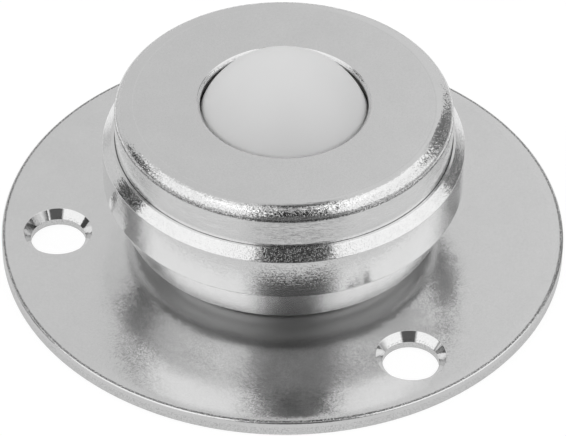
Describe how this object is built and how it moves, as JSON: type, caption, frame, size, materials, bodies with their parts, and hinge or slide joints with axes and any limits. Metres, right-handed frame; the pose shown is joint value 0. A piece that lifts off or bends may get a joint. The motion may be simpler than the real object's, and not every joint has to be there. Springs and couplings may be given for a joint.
{
  "type": "flange-mounted ball transfer unit",
  "caption": "Ball transfer unit: a plastic load ball runs on small bearing balls in a steel housing with a rounded cover cap, on a round base plate with countersunk screw holes.",
  "frame": {"origin": "centre of the base plate's underside", "axes": "+Z points out of the plate, through the load ball's centre; one screw hole lies on -X"},
  "size_m": [0.07, 0.07, 0.0274],
  "materials": {
    "plate_steel": "zinc-plated sheet, semi-gloss",
    "housing_steel": "turned and zinc-plated, fine turning lines",
    "cap_steel": "drawn and zinc-plated, grainy at the rounded corner",
    "hardened_steel": "hardened and polished race",
    "bearing_steel": "polished bearing balls",
    "retainer_plastic": "dark moulded plastic",
    "felt": "pressed grey felt",
    "white_plastic": "white satin plastic"
  },
  "bodies": {
    "unit": {"ball_retainer": "retainer_plastic", "base_plate": "plate_steel", "bearing_ball_01": "bearing_steel", "bearing_ball_02": "bearing_steel", "bearing_ball_03": "bearing_steel", "bearing_ball_04": "bearing_steel", "bearing_ball_05": "bearing_steel", "bearing_ball_06": "bearing_steel", "bearing_ball_07": "bearing_steel", "bearing_ball_08": "bearing_steel", "bearing_ball_09": "bearing_steel", "bearing_ball_10": "bearing_steel", "bearing_ball_11": "bearing_steel", "bearing_ball_12": "bearing_steel", "bearing_ball_13": "bearing_steel", "bearing_ball_14": "bearing_steel", "bearing_ball_15": "bearing_steel", "bearing_ball_16": "bearing_steel", "bearing_ball_17": "bearing_steel", "bearing_ball_18": "bearing_steel", "bearing_ball_19": "bearing_steel", "bearing_ball_20": "bearing_steel", "bearing_ball_21": "bearing_steel", "bearing_ball_22": "bearing_steel", "bearing_ball_23": "bearing_steel", "bearing_ball_24": "bearing_steel", "bearing_ball_25": "bearing_steel", "bearing_ball_26": "bearing_steel", "bearing_ball_27": "bearing_steel", "bearing_ball_28": "bearing_steel", "bearing_ball_29": "bearing_steel", "bearing_ball_30": "bearing_steel", "bearing_ball_31": "bearing_steel", "bearing_ball_32": "bearing_steel", "bearing_ball_33": "bearing_steel", "bearing_ball_34": "bearing_steel", "bearing_ball_35": "bearing_steel", "bearing_ball_36": "bearing_steel", "bearing_ball_37": "bearing_steel", "bearing_ball_38": "bearing_steel", "bearing_ball_39": "bearing_steel", "bearing_ball_40": "bearing_steel", "bearing_ball_41": "bearing_steel", "bearing_ball_42": "bearing_steel", "bearing_ball_43": "bearing_steel", "bearing_ball_44": "bearing_steel", "bearing_ball_45": "bearing_steel", "bearing_ball_46": "bearing_steel", "bearing_ball_47": "bearing_steel", "bearing_ball_48": "bearing_steel", "bearing_ball_49": "bearing_steel", "bearing_ball_50": "bearing_steel", "bearing_ball_51": "bearing_steel", "bearing_ball_52": "bearing_steel", "bearing_ball_53": "bearing_steel", "cover_cap": "cap_steel", "felt_seal": "felt", "housing": "housing_steel", "race_cup": "hardened_steel"},
    "ball": {"load_ball": "white_plastic"}
  },
  "joints": [
    {"name": "ball_roll", "type": "hinge", "parent": "unit", "child": "ball", "pos_m": [0, 0, 0.01641], "axis": [1, 0, 0], "continuous": true}
  ]
}
